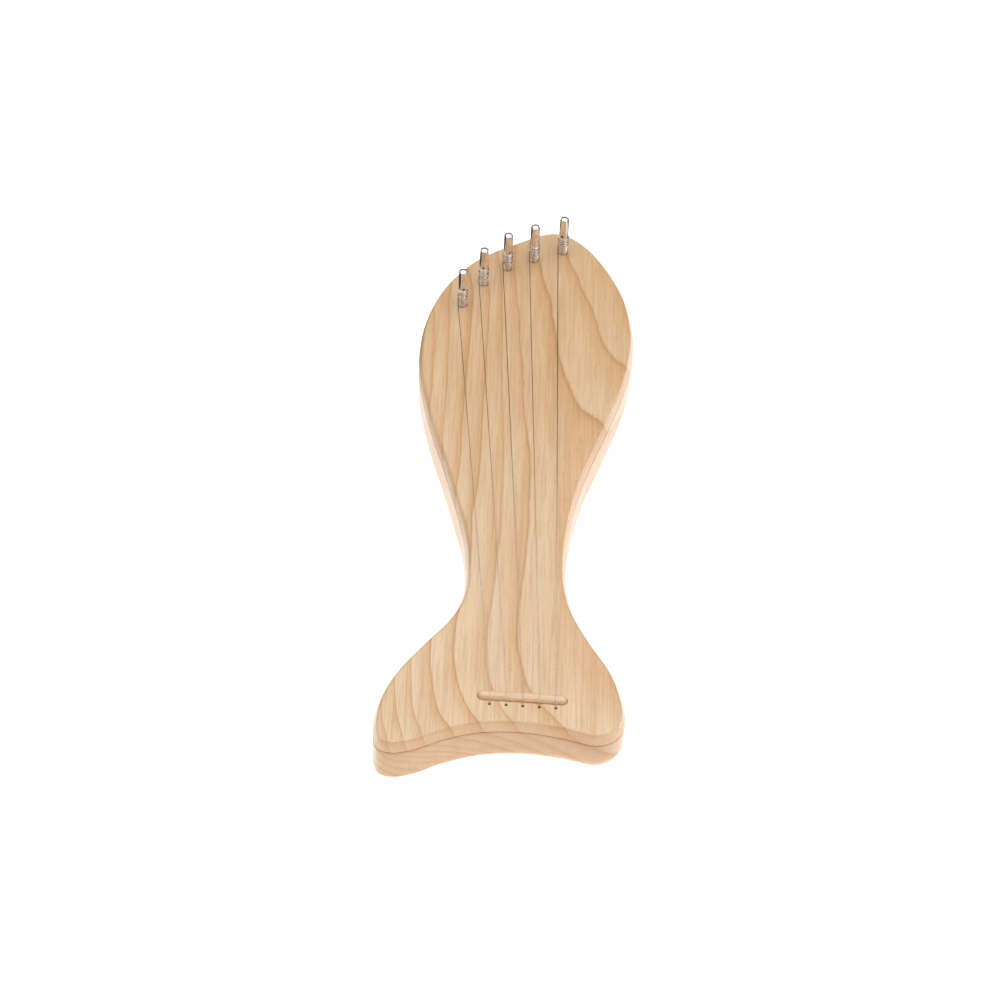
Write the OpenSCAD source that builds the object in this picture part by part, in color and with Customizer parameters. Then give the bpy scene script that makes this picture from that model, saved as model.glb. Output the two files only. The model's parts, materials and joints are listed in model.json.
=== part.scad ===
// Five-string hand harp (children's lyre), lying on its back.
// Millimetres. Back face on z = 0, front toward +Z, head with the pins toward +Y.
// The shape is drawn from a zero near the middle of the neck. At the end all of
// it is moved so that the middle of the body's footprint is on the origin.

/* [Body] */
// Thickness of the one-piece wooden body
body_t = 25; // [20:0.5:34]
// How far in from the side the eased front edge reaches
front_in = 2.3; // [1:0.1:6]
// How far down the side the eased front edge reaches
front_down = 6; // [2:0.5:8]
// Round-over of the back edge at the head, the neck and the left of the tail
back_r = 2; // [1:0.5:6]
// Extra rounding of the back edge under the right half of the tail
lap_r = 6; // [0:0.5:8]
// Wood left between the hollow in the back and the front face
front_wood = 7; // [4:0.5:12]
// Outline steps between two drawn points
smooth = 4; // [2:1:8]

/* [Tuning pins] */
// Shank diameter
pin_d = 5; // [4:0.1:7]
// Whole length of a pin
pin_len = 45; // [36:1:60]
// Length that stands above the front face
pin_proud = 25; // [20:0.5:32]
// Gap all round the pin in its bore
pin_fit = 0.05; // [0.02:0.01:0.1]
// Height above the front face where the flats of the square head begin
flat_from = 14.5; // [12:0.5:20]
// Width across the flats at the top of the head
head_w = 4.2; // [3.5:0.1:5]
// Height of the cross hole above the front face
eye_h = 13.1; // [8:0.1:16]
// Cross hole diameter
eye_d = 1.5; // [1:0.1:2]

/* [Bridge] */
// Diameter of the round bridge rod
rod_d = 5; // [4:0.5:10]
// Length of the rod over its round ends
rod_len = 43; // [36:1:60]
// Depth the rod sits below the front face
rod_sunk = 2.5; // [0.5:0.5:3]

/* [Strings] */
// Distance between strings at the bridge
string_gap = 8; // [6:0.5:12]
// Height of the string above the front face at the pin
string_h = 4.8; // [3:0.1:6]
// String hole diameter
hole_d = 1.6; // [1.2:0.1:3]
// Counterbore for the ball end, diameter
sink_d = 6; // [5:0.5:8]
// Counterbore for the ball end, depth from the back
sink_deep = 10; // [6:1:14]
// Turns of string on each pin
turns = 5; // [2:1:6]
// Height of the topmost even turn above the front face
coil_top = 11.2; // [9:0.1:12]

/* [Ball ends] */
// Barrel diameter
ball_d = 3.8; // [3:0.1:5]
// Barrel length
ball_len = 3.2; // [2:0.1:5]
// Waist diameter
waist_d = 1.9; // [1:0.1:3]

/* [Hidden] */
$fn = 64;
skin = 0.02;

// Outline of the body, clockwise from the crown of the head.
rim = [[24, 216], [31, 214.5], [37.5, 210.5], [45.5, 202], [53, 190], [59.5, 176.5], [65, 160.5],
       [68, 143.5], [69, 126], [67, 107], [63, 87], [57, 66], [50, 44], [43, 21], [38, -3], [35, -30],
       [35, -54], [39, -74], [48, -94], [58, -112], [63, -127], [65, -142], [61, -152.4],
       [51, -157.2], [35, -153.6], [15, -150.7], [-5, -152], [-22, -157.4], [-35, -164], [-46, -167],
       [-54, -163.5], [-56.2, -150], [-53.5, -133], [-46, -116], [-34, -98], [-23, -82],
       [-17, -66], [-15.5, -48], [-17.5, -24], [-23, 0], [-30, 27], [-37.5, 53], [-43, 77],
       [-46.5, 98], [-47, 118], [-45, 139], [-39, 160], [-30, 177], [-19, 190.5], [-7, 200],
       [5, 207.5], [15, 213.5]];

// Outline of the hollow in the back, counter-clockwise from the top.
cave = [[12, 165], [-4, 153], [-18, 140], [-29, 124], [-30, 104], [-23, 80], [-14, 50],
        [-6, 20], [-1, -10], [6, -24], [14, -24], [20, -10], [24, 20], [31, 50], [40, 80],
        [48, 108], [50, 136], [44, 158], [30, 172]];

// Pin centres, bass pin last, and the way each cross hole looks (degrees from straight down the neck).
pins = [[-25.2, 150], [-14.4, 168.6], [-1.5, 182.1], [13.1, 190.2], [29, 198]];
eyes = [10, -6, 23, -69, -20];
// String diameters, left to right.
wires = [0.4, 0.4, 0.45, 0.45, 0.55];

rod_x = 15;
rod_y = -134;
rod_z = body_t + rod_d / 2 - rod_sunk;
// The rod and the row of holes run away from square by this much, bass side lower.
rod_fall = 0.25 / 8;
first_x = -0.8;
ball_z = sink_deep - ball_d / 2 - 0.05;

// ---------- helpers ----------
function curve(a, b, c, d, t) =
    0.5 * (2 * b + (c - a) * t + (2 * a - 5 * b + 4 * c - d) * t * t + (3 * b - a - 3 * c + d) * t * t * t);
function closed(p, k) = let (n = len(p))
    [for (i = [0:n - 1]) for (j = [0:k - 1])
        curve(p[(i + n - 1) % n], p[i], p[(i + 1) % n], p[(i + 2) % n], j / k)];
function unit(v) = v / norm(v);
function inward(p, i) = let (n = len(p), d = unit(p[(i + 1) % n] - p[(i + n - 1) % n])) [d[1], -d[0]];
function ease(t) = let (u = max(0, min(1, t))) u * u * (3 - 2 * u);
function polar(c, r, a, z) = [c[0] + r * cos(a), c[1] + r * sin(a), z];

edge = closed(rim, smooth);
count = len(edge);
mid = [(min([for (p = edge) p[0]]) + max([for (p = edge) p[0]])) / 2,
       (min([for (p = edge) p[1]]) + max([for (p = edge) p[1]])) / 2];

// Radius of the back round-over, wider under the right half of the tail.
function back_at(p) = back_r + lap_r * ease((p[0] + 40) / 100) * ease((-60 - p[1]) / 60);

// One ring of body points: how far in and how high, for a step number. The first
// and last rings run a little past the flat faces, which are then cut level.
low_step = 30;
low_rings = 4;
rings = 9;
past = 0.2;
// The front edge is a steep ease: it leaves the side at a low angle and bends inward.
bend_in = 0.8;
bend_up = 3.7;
function front(k) = let (t = (k - low_rings) / (rings - 2 - low_rings), u = 1 - t)
    [2 * u * t * bend_in + t * t * front_in, 2 * u * t * bend_up + t * t * front_down];
lean_in = (front_in - bend_in) / (front_down - bend_up);
function ring_in(p, k) =
    k == 0 ? back_at(p) + past * sin(low_step) / (1 - cos(low_step))
    : k < low_rings ? back_at(p) * (1 - sin(low_step * k))
    : k < rings - 1 ? front(k)[0]
    : front_in + past * lean_in;
function ring_z(p, k) =
    k == 0 ? -past
    : k < low_rings ? back_at(p) * (1 - cos(low_step * k))
    : k < rings - 1 ? body_t - front_down + front(k)[1]
    : body_t + past;

// ---------- wires ----------
function along(p, i) = i == 0 ? unit(p[1] - p[0])
    : i == len(p) - 1 ? unit(p[i] - p[i - 1])
    : unit(unit(p[i + 1] - p[i]) + unit(p[i] - p[i - 1]));
function side(t, level) = level ? unit(cross([0, 0, -1], t)) : unit([1, 0, 0] - t[0] * t);
function hoop(c, t, n, r, m) = let (b = cross(t, n))
    [for (j = [0:m - 1]) c + r * (cos(360 * j / m) * n + sin(360 * j / m) * b)];

// A round wire along a path. From the point number given on, the path is nearly level.
module wire(path, d, level_from = 0, m = 8) {
    n = len(path);
    points = [for (i = [0:n - 1]) let (t = along(path, i))
                 each hoop(path[i], t, side(t, i >= level_from), d / 2, m)];
    faces = concat([[for (j = [0:m - 1]) j]],
                   [for (i = [0:n - 2]) for (j = [0:m - 1]) let (e = (j + 1) % m)
                       each [[i * m + j, (i + 1) * m + j, (i + 1) * m + e], [i * m + j, (i + 1) * m + e, i * m + e]]],
                   [[for (j = [m - 1:-1:0]) (n - 1) * m + j]]);
    polyhedron(points = points, faces = faces, convexity = 12);
}

// String hole i; the row runs a little away from the rod toward the bass side.
function string_x(i) = first_x + string_gap * i;
function hole_y(i) = -138.5 - 0.25 * i;
function rod_at(i) = rod_y - rod_fall * (string_x(i) - rod_x);

// Where string i meets its pin, and its heading there.
function wrap_r(i) = pin_d / 2 + wires[i] / 2 + 0.04;
function heading(i) = let (dx = pins[i][0] - string_x(i), dy = pins[i][1] - rod_at(i))
    atan2(dy, dx) + asin(wrap_r(i) / norm([dx, dy]));
function meet(i) = heading(i) + 90;
string_z = body_t + string_h;

// ---------- bought and made parts ----------
module tuning_pin(i) {
    z0 = body_t - (pin_len - pin_proud);
    z1 = body_t + pin_proud;
    lean = atan((pin_d - head_w) / 2 / (pin_proud - flat_from));
    color([0.75, 0.74, 0.72]) place() translate([pins[i][0], pins[i][1], 0])
        difference() {
            union() {
                translate([0, 0, z0]) cylinder(d1 = pin_d - 1.6, d2 = pin_d, h = 1);
                intersection() {
                    translate([0, 0, z0 + 1]) cylinder(d = pin_d, h = pin_len);
                    union() {
                        translate([0, 0, z0]) cylinder(d = pin_d + 2, h = pin_len - 6);
                        translate([0, 0, z1 - 3.2]) sphere(r = 3.2);
                        translate([0, 0, z1 - 9]) cylinder(r = 3.2, h = 5.8);
                    }
                }
            }
            for (a = [0:90:270])
                rotate([0, 0, a + eyes[i]])
                    translate([pin_d / 2, 0, body_t + flat_from])
                        rotate([0, -lean, 0])
                            translate([0, -4, 0]) cube([4, 8, 16]);
            translate([0, 0, body_t + eye_h])
                rotate([0, 90, eyes[i] + 90]) cylinder(d = eye_d, h = pin_d + 2, center = true, $fn = 32);
        }
}

// Turns of string on the pin, from just above the arriving string up to the cross hole.
module string_winding(i) {
    c = pins[i];
    r = wrap_r(i);
    w = wires[i];
    back = 90 + eyes[i];
    from = meet(i) - 75;
    rest = ((from - back - 25) % 360 + 360) % 360;
    sweep = (turns - 1) * 360 + rest + (rest < 120 ? 360 : 0);
    za = string_z + w + 0.04;
    zb = body_t + coil_top;
    ze = body_t + eye_h;
    steps = round(sweep / 20);
    function lift(s) = s < sweep - 130
        ? za + (zb - za) * s / (sweep - 130) + 0.2 * sin(1.6 * s + 50 * i) * ease(s / 200) * ease((sweep - 130 - s) / 120)
        : zb + (ze - 0.1 - zb) * ease((s - sweep + 130) / 130 * 0.9 + 0.1 * (s - sweep + 130) / 130);
    coil = [for (k = [0:steps]) let (s = sweep * k / steps) polar(c, r, from - s, lift(s))];
    p0 = coil[steps];
    way = back + 25 - 90;
    p1 = p0 + 0.9 * [cos(way), sin(way), 0];
    p2 = polar(c, r + 0.45, back, ze);
    p3 = polar(c, 1.2, back, ze);
    turn_in = [for (k = [1:8]) let (t = k / 8, u = 1 - t)
                  u * u * u * p0 + 3 * u * u * t * p1 + 3 * u * t * t * p2 + t * t * t * p3];
    color([0.60, 0.60, 0.62]) place() wire(concat(coil, turn_in), w, 0, 6);
}

// One string: loop round the ball end, up through the body, over the bridge, on to the pin.
module string(i) {
    x = string_x(i);
    y = hole_y(i);
    w = wires[i];
    loop_r = waist_d / 2 + w / 2 + skin;
    bend = rod_d / 2 + w / 2 + skin;
    loop = [for (a = [-255:19.0625:50]) [x, y + loop_r * cos(a), ball_z + loop_r * sin(a)]];
    stem = [[x, y + 0.62, ball_z + 1.4], [x, y + 0.36, ball_z + 1.95], [x, y + 0.14, ball_z + 2.8],
            [x, y + 0.05, ball_z + 4], [x, y + 0.08, body_t - 2.4], [x, y + 0.14, body_t - 1.1],
            [x, y + 0.3, body_t + 0.1]];
    axis = rod_at(i);
    dy = y + 0.3 - axis;
    dz = body_t + 0.1 - rod_z;
    first = (atan2(dz, dy) + 360) % 360 - acos(bend / norm([dy, dz]));
    over = [for (k = [0:8]) let (a = first + (90 - first) * k / 8) [x, axis + bend * cos(a), rod_z + bend * sin(a)]];
    wrap = [for (k = [0:6]) polar(pins[i], wrap_r(i), meet(i) - 15 * k, string_z)];
    color([0.60, 0.60, 0.62]) place() wire(concat(loop, stem, over, wrap), w, len(loop) + len(stem) + 5);
}

module ball_end(i) {
    h = ball_len / 2;
    color([0.80, 0.66, 0.35]) place() translate([string_x(i), hole_y(i), ball_z])
        rotate([0, 90, 0])
            rotate_extrude()
                polygon([[0, -h], [ball_d / 2 - 0.2, -h], [ball_d / 2, 0.2 - h], [ball_d / 2, -0.7],
                         [waist_d / 2, -0.45], [waist_d / 2, 0.45], [ball_d / 2, 0.7],
                         [ball_d / 2, h - 0.2], [ball_d / 2 - 0.2, h], [0, h]]);
}

module rod(d) {
    run = rod_len - rod_d;
    translate([rod_x, rod_y, rod_z]) rotate([0, 0, -atan(rod_fall)]) {
        rotate([0, 90, 0]) cylinder(d = d, h = run, center = true);
        for (s = [-1, 1]) translate([s * run / 2, 0, 0]) sphere(d = d);
    }
}

// The plank with its round-overs, as rings of points from the back face to the front face.
module plank() {
    points = [for (k = [0:rings - 1]) for (i = [0:count - 1]) let (p = edge[i], q = p + ring_in(p, k) * inward(edge, i))
                 [q[0], q[1], ring_z(p, k)]];
    faces = concat([[for (i = [count - 1:-1:0]) i]],
                   [for (k = [0:rings - 2]) for (i = [0:count - 1]) let (e = (i + 1) % count)
                       each [[k * count + i, k * count + e, (k + 1) * count + e],
                             [k * count + i, (k + 1) * count + e, (k + 1) * count + i]]],
                   [[for (i = [0:count - 1]) (rings - 1) * count + i]]);
    intersection() {
        polyhedron(points = points, faces = faces, convexity = 6);
        translate([-100, -200, 0]) cube([220, 460, body_t]);
    }
}

module body() {
    color([0.90, 0.77, 0.62]) place()
        difference() {
            plank();
            translate([0, 0, -1]) linear_extrude(height = body_t - front_wood + 1) polygon(closed(cave, 4));
            for (p = pins)
                translate([p[0], p[1], body_t - (pin_len - pin_proud) - 0.5])
                    cylinder(r = pin_d / 2 + pin_fit, h = pin_len);
            for (i = [0:4])
                translate([string_x(i), hole_y(i), 0]) {
                    translate([0, 0, -1]) cylinder(d = sink_d, h = sink_deep + 1);
                    cylinder(d = hole_d, h = body_t + 1, $fn = 32);
                }
            rod(rod_d + 2 * skin);
        }
}

module bridge() { color([0.86, 0.71, 0.55]) place() rod(rod_d); }

module place() { translate([-mid[0], -mid[1], 0]) children(); }

body();
bridge();
tuning_pin(0);  // tuning_pin_1
tuning_pin(1);  // tuning_pin_2
tuning_pin(2);  // tuning_pin_3
tuning_pin(3);  // tuning_pin_4
tuning_pin(4);  // tuning_pin_5
string_winding(0);  // string_winding_1
string_winding(1);  // string_winding_2
string_winding(2);  // string_winding_3
string_winding(3);  // string_winding_4
string_winding(4);  // string_winding_5
string(0);  // string_1
string(1);  // string_2
string(2);  // string_3
string(3);  // string_4
string(4);  // string_5
ball_end(0);  // ball_end_1
ball_end(1);  // ball_end_2
ball_end(2);  // ball_end_3
ball_end(3);  // ball_end_4
ball_end(4);  // ball_end_5
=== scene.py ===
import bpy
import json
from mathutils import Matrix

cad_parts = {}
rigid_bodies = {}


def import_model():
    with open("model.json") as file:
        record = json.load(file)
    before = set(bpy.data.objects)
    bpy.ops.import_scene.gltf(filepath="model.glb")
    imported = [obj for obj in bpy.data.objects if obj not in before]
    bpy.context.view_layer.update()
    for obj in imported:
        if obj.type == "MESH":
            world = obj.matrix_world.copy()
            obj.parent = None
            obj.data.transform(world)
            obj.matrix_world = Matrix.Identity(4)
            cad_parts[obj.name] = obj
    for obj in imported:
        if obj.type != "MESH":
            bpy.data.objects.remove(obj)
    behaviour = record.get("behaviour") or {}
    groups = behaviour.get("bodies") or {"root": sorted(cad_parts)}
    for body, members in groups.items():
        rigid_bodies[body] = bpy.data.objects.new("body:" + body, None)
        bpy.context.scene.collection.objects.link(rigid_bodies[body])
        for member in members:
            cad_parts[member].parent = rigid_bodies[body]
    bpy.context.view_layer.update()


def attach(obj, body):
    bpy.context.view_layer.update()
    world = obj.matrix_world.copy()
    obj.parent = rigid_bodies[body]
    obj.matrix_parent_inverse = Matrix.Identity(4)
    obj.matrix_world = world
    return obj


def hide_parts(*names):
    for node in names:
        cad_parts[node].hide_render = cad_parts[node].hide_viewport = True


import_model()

import json
import math

import bpy
import numpy as np
from mathutils import Vector
from mathutils.geometry import delaunay_2d_cdt

# Five-string hand harp. Shapes are drawn in millimetres on the same zero as the
# part's source (near the middle of the neck), then moved and scaled to the frame.
MM = 0.001
MID = np.array([6.403906249999999, 24.5, 0.0])

T = 25.0                                  # thickness of the body
FRONT_IN, FRONT_DOWN, BACK_R, LAP_R = 2.3, 6.0, 2.0, 6.0
FRONT_WOOD = 7.0
PIN_D, PIN_LEN, PIN_PROUD = 5.0, 45.0, 25.0
FLAT_FROM, HEAD_W, EYE_H, EYE_D = 14.5, 4.2, 13.1, 1.5
ROD_D, ROD_LEN, ROD_X, ROD_Y = 5.0, 43.0, 15.0, -134.0
ROD_Z = T
ROD_FALL = 0.25 / 8
GAP, STRING_Z, FIRST_X = 8.0, T + 4.8, -0.8
TURNS, COIL_TOP = 5, 11.2
BALL_D, BALL_LEN, WAIST_D = 3.8, 3.2, 1.9
BALL_Z = 10.0 - BALL_D / 2 - 0.05
PINS = [(-25.2, 150), (-14.4, 168.6), (-1.5, 182.1), (13.1, 190.2), (29, 198)]
EYES = [10, -6, 23, -69, -20]
WIRES = [0.4, 0.4, 0.45, 0.45, 0.55]

RIM = [(24, 216), (31, 214.5), (37.5, 210.5), (45.5, 202), (53, 190), (59.5, 176.5), (65, 160.5),
       (68, 143.5), (69, 126), (67, 107), (63, 87), (57, 66), (50, 44), (43, 21), (38, -3), (35, -30),
       (35, -54), (39, -74), (48, -94), (58, -112), (63, -127), (65, -142), (61, -152.4),
       (51, -157.2), (35, -153.6), (15, -150.7), (-5, -152), (-22, -157.4), (-35, -164), (-46, -167),
       (-54, -163.5), (-56.2, -150), (-53.5, -133), (-46, -116), (-34, -98), (-23, -82),
       (-17, -66), (-15.5, -48), (-17.5, -24), (-23, 0), (-30, 27), (-37.5, 53), (-43, 77),
       (-46.5, 98), (-47, 118), (-45, 139), (-39, 160), (-30, 177), (-19, 190.5), (-7, 200),
       (5, 207.5), (15, 213.5)]
CAVE = [(12, 165), (-4, 153), (-18, 140), (-29, 124), (-30, 104), (-23, 80), (-14, 50),
        (-6, 20), (-1, -10), (6, -24), (14, -24), (20, -10), (24, 20), (31, 50), (40, 80),
        (48, 108), (50, 136), (44, 158), (30, 172)]

scene = bpy.context.scene


# ------------------------------------------------------------------ camera
def make_camera():
    data = bpy.data.cameras.new("camera")
    data.lens = 108.0
    data.sensor_width = 36.0
    data.clip_start, data.clip_end = 0.05, 20.0
    cam = bpy.data.objects.new("camera", data)
    scene.collection.objects.link(cam)
    x = Vector((0.99905, 0.03084, 0.03084))
    y = Vector((-0.04362, 0.70644, 0.70644))
    x.normalize()
    z = x.cross(y).normalized()
    y = z.cross(x)
    place = Vector((-0.0064039, -1.1123568, 1.112857))
    m = cam.matrix_world.copy()
    for r in range(3):
        m[r][0], m[r][1], m[r][2], m[r][3] = x[r], y[r], z[r], place[r]
    cam.matrix_world = m
    scene.camera = cam
    return cam


make_camera()


# ------------------------------------------------------------------ helpers
def ease(t):
    u = np.clip(t, 0.0, 1.0)
    return u * u * (3 - 2 * u)


def closed_curve(points, k):
    p = np.array(points, float)
    a, b, c, d = np.roll(p, 1, 0), p, np.roll(p, -1, 0), np.roll(p, -2, 0)
    rows = []
    for j in range(k):
        t = j / k
        rows.append(0.5 * (2 * b + (c - a) * t + (2 * a - 5 * b + 4 * c - d) * t * t
                           + (3 * b - a - 3 * c + d) * t ** 3))
    return np.stack(rows, 1).reshape(-1, 2)


def inward(loop):
    d = np.roll(loop, -1, 0) - np.roll(loop, 1, 0)
    d /= np.linalg.norm(d, axis=1)[:, None]
    return np.stack([d[:, 1], -d[:, 0]], 1)


def inside(points, loop):
    x, y = points[:, 0][:, None], points[:, 1][:, None]
    a, b = loop, np.roll(loop, -1, 0)
    ax, ay, bx, by = a[:, 0], a[:, 1], b[:, 0], b[:, 1]
    cross = (ay > y) != (by > y)
    with np.errstate(divide="ignore", invalid="ignore"):
        at = (bx - ax) * (y - ay) / (by - ay) + ax
    return (np.sum(cross & (x < at), axis=1) % 2) == 1


def near(points, loop, far):
    a, b = loop, np.roll(loop, -1, 0)
    d = b - a
    n = np.maximum((d * d).sum(1), 1e-12)
    t = np.clip(((points[:, None, :] - a) * d).sum(2) / n, 0, 1)
    q = a + t[..., None] * d
    return np.linalg.norm(points[:, None, :] - q, axis=2).min(1) < far


def circle(cx, cy, r, n, start=0.0):
    a = np.radians(start) + np.arange(n) * 2 * np.pi / n
    return np.stack([cx + r * np.cos(a), cy + r * np.sin(a)], 1)


def to_frame(v):
    return (np.asarray(v, float) - MID) * MM


def new_object(name, verts_mm, faces, body, node=None, smooth=True, sharp=None):
    mesh = bpy.data.meshes.new(name)
    mesh.from_pydata(to_frame(verts_mm).tolist(), [], [list(map(int, f)) for f in faces])
    mesh.update()
    if smooth:
        mesh.polygons.foreach_set("use_smooth", [True] * len(mesh.polygons))
        if sharp is not None:
            mesh.set_sharp_from_angle(angle=math.radians(sharp))
    o = bpy.data.objects.new(name, mesh)
    scene.collection.objects.link(o)
    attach(o, body)
    if node:
        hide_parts(node)
    return o


def tube(path, radius, sides=14):
    """A round wire swept along a path of points, with flat ends."""
    p = np.asarray(path, float)
    t = np.gradient(p, axis=0)
    t /= np.linalg.norm(t, axis=1)[:, None]
    n = np.cross(t[0], [0, 0, 1.0])
    if np.linalg.norm(n) < 0.1:
        n = np.cross(t[0], [1.0, 0, 0])
    n /= np.linalg.norm(n)
    r = np.broadcast_to(np.asarray(radius, float), (len(p),))
    a = np.arange(sides) * 2 * np.pi / sides
    verts = []
    for i in range(len(p)):
        n = n - np.dot(n, t[i]) * t[i]
        n /= np.linalg.norm(n)
        b = np.cross(t[i], n)
        verts.append(p[i] + r[i] * (np.cos(a)[:, None] * n + np.sin(a)[:, None] * b))
    verts = np.concatenate(verts)
    faces = []
    for i in range(len(p) - 1):
        for j in range(sides):
            e = (j + 1) % sides
            faces.append((i * sides + j, i * sides + e, (i + 1) * sides + e, (i + 1) * sides + j))
    faces.append(list(range(sides - 1, -1, -1)))
    faces.append([(len(p) - 1) * sides + j for j in range(sides)])
    return verts, faces


def finer(points, k):
    """The same open path with k points for each one, on a smooth curve."""
    p = np.asarray(points, float)
    ext = np.vstack([2 * p[0] - p[1], p, 2 * p[-1] - p[-2]])
    out = []
    for i in range(1, len(ext) - 2):
        a, b, c, d = ext[i - 1], ext[i], ext[i + 1], ext[i + 2]
        for j in range(k):
            t = j / k
            out.append(0.5 * (2 * b + (c - a) * t + (2 * a - 5 * b + 4 * c - d) * t * t
                              + (3 * b - a - 3 * c + d) * t ** 3))
    out.append(p[-1])
    return np.array(out)


def lathe(profile, axis_x, axis_z, origin, n=48):
    """Profile points (radius, height) turned about an axis through origin."""
    ax, az = np.asarray(axis_x, float), np.asarray(axis_z, float)
    ay = np.cross(az, ax)
    verts, rings, faces = [], [], []
    for r, h in profile:
        if r < 1e-6:
            rings.append([len(verts)])
            verts.append(np.asarray(origin, float) + h * az)
        else:
            first = len(verts)
            for j in range(n):
                a = 2 * np.pi * j / n
                verts.append(np.asarray(origin, float) + h * az + r * (math.cos(a) * ax + math.sin(a) * ay))
            rings.append(list(range(first, first + n)))
    for lo, hi in zip(rings[:-1], rings[1:]):
        for j in range(n):
            e = (j + 1) % n
            if len(lo) == 1:
                faces.append((lo[0], hi[e], hi[j]))
            elif len(hi) == 1:
                faces.append((lo[j], lo[e], hi[0]))
            else:
                faces.append((lo[j], lo[e], hi[e], hi[j]))
    return np.array(verts), faces


# ------------------------------------------------------------------ grain of the plank
# Growth lines as they run over the front face, each with its ring number. The
# plank's grain is a smooth field through them: the ring number at any point.
RINGS = [
    (0, [(-51.5, -136), (-52.6, -143), (-51.6, -150.5), (-50.2, -158), (-46.5, -163.5)]),
    (1, [(-47.3, -127), (-47, -135), (-45.7, -143), (-44.4, -150.5), (-43, -158.5), (-40, -164.5)]),
    (2, [(-40, -110.5), (-39.4, -119.5), (-38.9, -128), (-38.2, -139.5), (-36.6, -149.5), (-34, -157), (-28, -161.5)]),
    (3, [(-29.8, -98), (-30.6, -107), (-29.6, -119.5), (-27.9, -130.5), (-26, -140.5), (-23.6, -149.5),
         (-19.5, -155), (-12.5, -157.5)]),
    (4, [(-18.3, -80), (-19, -92), (-19.4, -103), (-18.9, -114), (-17.2, -122), (-15, -130.5), (-12.2, -139.5),
         (-9.3, -148), (-6, -151), (0, -154)]),
    (0, [(-45.5, 120), (-45.2, 100)]),
    (1, [(-39, 140), (-39, 120), (-38.9, 100), (-38, 80)]),
    (2, [(-33, 155), (-32.2, 131), (-31.7, 109), (-31.2, 89), (-31, 65), (-31, 50)]),
    (3, [(-19.5, 163), (-19.6, 130), (-20.2, 100), (-21, 75), (-21.6, 50), (-21.4, 28), (-21.8, 12)]),
    (4, [(-10, 165), (-9.8, 130), (-10.2, 100), (-10.9, 70), (-11, 40), (-11.2, 17), (-12.4, 0), (-14.6, -12)]),
    (5, [(-4.6, 182), (-3.8, 160), (-3, 130), (-2, 100), (-0.2, 70), (1.1, 45), (1.7, 17), (1.6, -16),
         (0.2, -34), (-0.6, -53), (-1.2, -69.5), (-2.6, -86), (-3.2, -97), (-2.4, -108), (-1.6, -119.5),
         (0.2, -127), (2.2, -131), (4.4, -139.5), (6.2, -146), (10, -149.5), (18, -152.5)]),
    (6, [(1.6, 185), (2.8, 171), (4.4, 158), (6, 142), (6.9, 129), (7.6, 118), (8.8, 106), (9.4, 92),
         (9.8, 78), (11, 64), (12.6, 50), (14.2, 38), (15.3, 24), (15.2, 8), (14.5, -10), (15, -25),
         (14.4, -37), (13.3, -50.5), (12.2, -62), (11.6, -74), (11, -88), (11, -98), (13, -107.5),
         (15, -117), (16.8, -126.5), (19.5, -131), (25.4, -139.4), (30, -146), (34.6, -152), (40.5, -155.5),
         (47, -157.3), (56, -157)]),
    (7, [(15.6, 196), (17.4, 186), (20.6, 171), (23.3, 158), (25, 148), (26.2, 136), (27.8, 120), (29.8, 109),
         (31.4, 100), (34, 91.5), (36, 85), (38.8, 78), (41.4, 72.5), (44.6, 69.5), (48.6, 65), (51.5, 60.5), (57, 56)]),
    (8, [(32, 194), (36.5, 181), (40.4, 167), (43.6, 157.5), (47.4, 149), (49.4, 138), (51.6, 129), (54, 119.5),
         (57.6, 112), (62, 107.8), (69, 106)]),
]
SPARSE = [(62, 160, 8.9), (58, 178, 8.8), (66, 140, 8.85), (63, 125, 8.5), (45, 100, 7.55), (55, 92, 7.75), (56, 80, 7.5),
          (46, 30, 6.86), (38, 20, 6.8), (30, 60, 6.72), (33, -10, 6.74), (34, -45, 6.74), (36, -74, 6.72),
          (30, -100, 6.55), (48, -108, 6.78), (59, -128, 6.82), (63, -146, 6.5), (40, -135, 6.5), (52, -146, 6.35),
          (-30, -172, 3.2), (0, -166, 4.9), (30, -168, 5.6), (60, -170, 5.6), (-60, -120, -0.8)]


def spread(line, step):
    p = np.array(line, float)
    d = np.concatenate([[0], np.cumsum(np.linalg.norm(np.diff(p, axis=0), axis=1))])
    n = max(2, int(round(d[-1] / step)) + 1)
    s = np.linspace(0, d[-1], n)
    return np.stack([np.interp(s, d, p[:, 0]), np.interp(s, d, p[:, 1])], 1)


class Grain:
    """Smooth surface (thin plate) through the drawn growth lines."""

    def __init__(self):
        pts, val = [], []
        for ring, line in RINGS:
            q = spread(line, 6.0)
            pts.append(q)
            val += [ring] * len(q)
        pts.append(np.array([(x, y) for x, y, _ in SPARSE], float))
        val += [v for _, _, v in SPARSE]
        self.p = np.concatenate(pts)
        n = len(self.p)
        k = self.kernel(self.p)
        a = np.zeros((n + 3, n + 3))
        a[:n, :n] = k + 1.5 * np.eye(n)
        a[:n, n] = 1
        a[:n, n + 1:] = self.p
        a[n, :n] = 1
        a[n + 1:, :n] = self.p.T
        self.w = np.linalg.solve(a, np.concatenate([val, [0, 0, 0]]))

    def kernel(self, q):
        r2 = ((q[:, None, :] - self.p[None, :, :]) ** 2).sum(2)
        return 0.5 * r2 * np.log(np.maximum(r2, 1e-9)) * 0.01

    def at(self, q):
        out = []
        for part in np.array_split(q, max(1, len(q) // 4000)):
            out.append(self.kernel(part) @ self.w[:-3] + self.w[-3] + part @ self.w[-2:])
        return np.concatenate(out)


GRAIN = Grain()
SLANT = 2.2        # the rings dive under the front face at a low angle


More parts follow.
